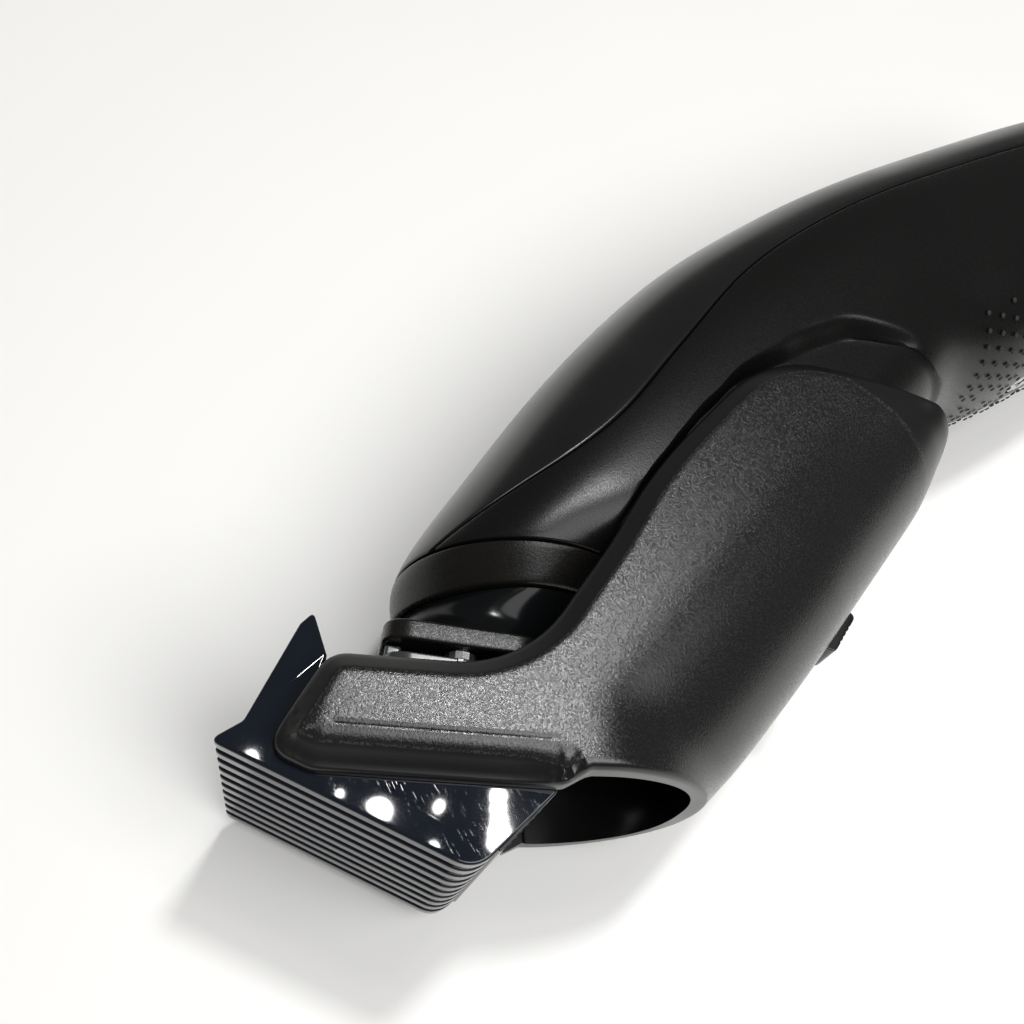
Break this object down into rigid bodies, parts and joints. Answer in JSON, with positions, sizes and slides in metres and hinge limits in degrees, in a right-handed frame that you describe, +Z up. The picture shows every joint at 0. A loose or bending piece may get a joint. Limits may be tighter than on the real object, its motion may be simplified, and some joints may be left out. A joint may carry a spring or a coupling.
{
  "type": "hair clipper",
  "caption": "Cordless hair clipper lying on its side, with a ten-plate guide comb on a sliding carrier, cutting unit, drive train, switch and length latch.",
  "frame": {"origin": "under the centre of the object's box, on the surface it lies on", "axes": "+X along the handle to the tail, +Y from the belly to the rear cover, +Z up, which is the clipper's own width as it lies on its side"},
  "size_m": [0.1936, 0.0764, 0.048],
  "materials": {
    "satin_black": "fine spark-eroded satin grain",
    "smooth_black": "smooth, between satin and gloss",
    "comb_gloss": "high gloss blue-black",
    "soft_grip": "matt soft-touch with small dots",
    "smoke_grey": "smooth smoke grey",
    "inner_plastic": "plain moulded",
    "black_nylon": "plain moulded",
    "blade_steel": "ground",
    "plated_steel": "zinc plated",
    "battery_wrap": "shrink-wrapped cell",
    "board_green": "solder mask",
    "lamp": "clear green light pipe"
  },
  "bodies": {
    "housing": {"front_housing": "satin_black", "rear_cover": "smooth_black", "head_ring": "satin_black", "neck": "smooth_black", "end_cap": "smooth_black", "grip_pad": "soft_grip", "charge_lamp": "lamp", "housing_screw_1": "plated_steel", "housing_screw_2": "plated_steel", "battery_cell_left": "battery_wrap", "battery_cell_right": "battery_wrap", "battery_link": "plated_steel", "battery_tab": "plated_steel", "inner_chassis": "inner_plastic", "circuit_board": "board_green", "switch_contacts": "black_nylon", "control_chip": "black_nylon", "charging_inlet": "plated_steel", "inlet_tongue": "black_nylon", "head_plate": "satin_black", "plate_screw_1": "plated_steel", "plate_screw_2": "plated_steel", "cutter_frame": "smoke_grey", "fixed_blade": "blade_steel", "blade_screw_1": "plated_steel", "blade_screw_2": "plated_steel", "blade_spring": "blade_steel", "motor_case": "plated_steel", "motor_bracket": "inner_plastic", "detent_rack": "inner_plastic"},
    "switch": {"power_slider": "smooth_black"},
    "rotor": {"motor_shaft": "blade_steel", "cam_pin": "blade_steel"},
    "lever": {"drive_lever": "black_nylon"},
    "blade": {"moving_blade": "blade_steel", "blade_bridge": "black_nylon"},
    "comb": {"comb_carrier": "satin_black", "guide_comb": "comb_gloss", "latch_pin": "blade_steel", "latch_spring": "blade_steel"},
    "latch": {"length_latch": "smooth_black"}
  },
  "joints": [
    {"name": "comb_slide", "type": "slide", "parent": "housing", "child": "comb", "axis": [0.8988, 0.4384, 0], "range_m": [-0.009, 0.003]},
    {"name": "latch_rock", "type": "hinge", "parent": "comb", "child": "latch", "pos_m": [-0.02229, -0.02555, 0.024], "axis": [0, 0, 1], "range_deg": [-3, 6], "stiffness_Nm_per_rad": 0.2},
    {"name": "power_slide", "type": "slide", "parent": "housing", "child": "switch", "axis": [1, 0, 0], "range_m": [0, 0.004]},
    {"name": "motor_spin", "type": "hinge", "parent": "housing", "child": "rotor", "pos_m": [-0.05479, -0.00685, 0.024], "axis": [0.866, 0.5, 0], "continuous": true},
    {"name": "lever_swing", "type": "hinge", "parent": "housing", "child": "lever", "pos_m": [-0.06315, -0.00829, 0.024], "axis": [0.5764, 0.8171, 0], "range_deg": [-10.5, 10.5]},
    {"name": "blade_slide", "type": "slide", "parent": "housing", "child": "blade", "axis": [0, 0, 1], "range_m": [-0.00122, 0.00122]}
  ],
  "couplings": [
    {"joint": "lever_swing", "follows": "blade_slide", "rad_per_m": 150}
  ]
}
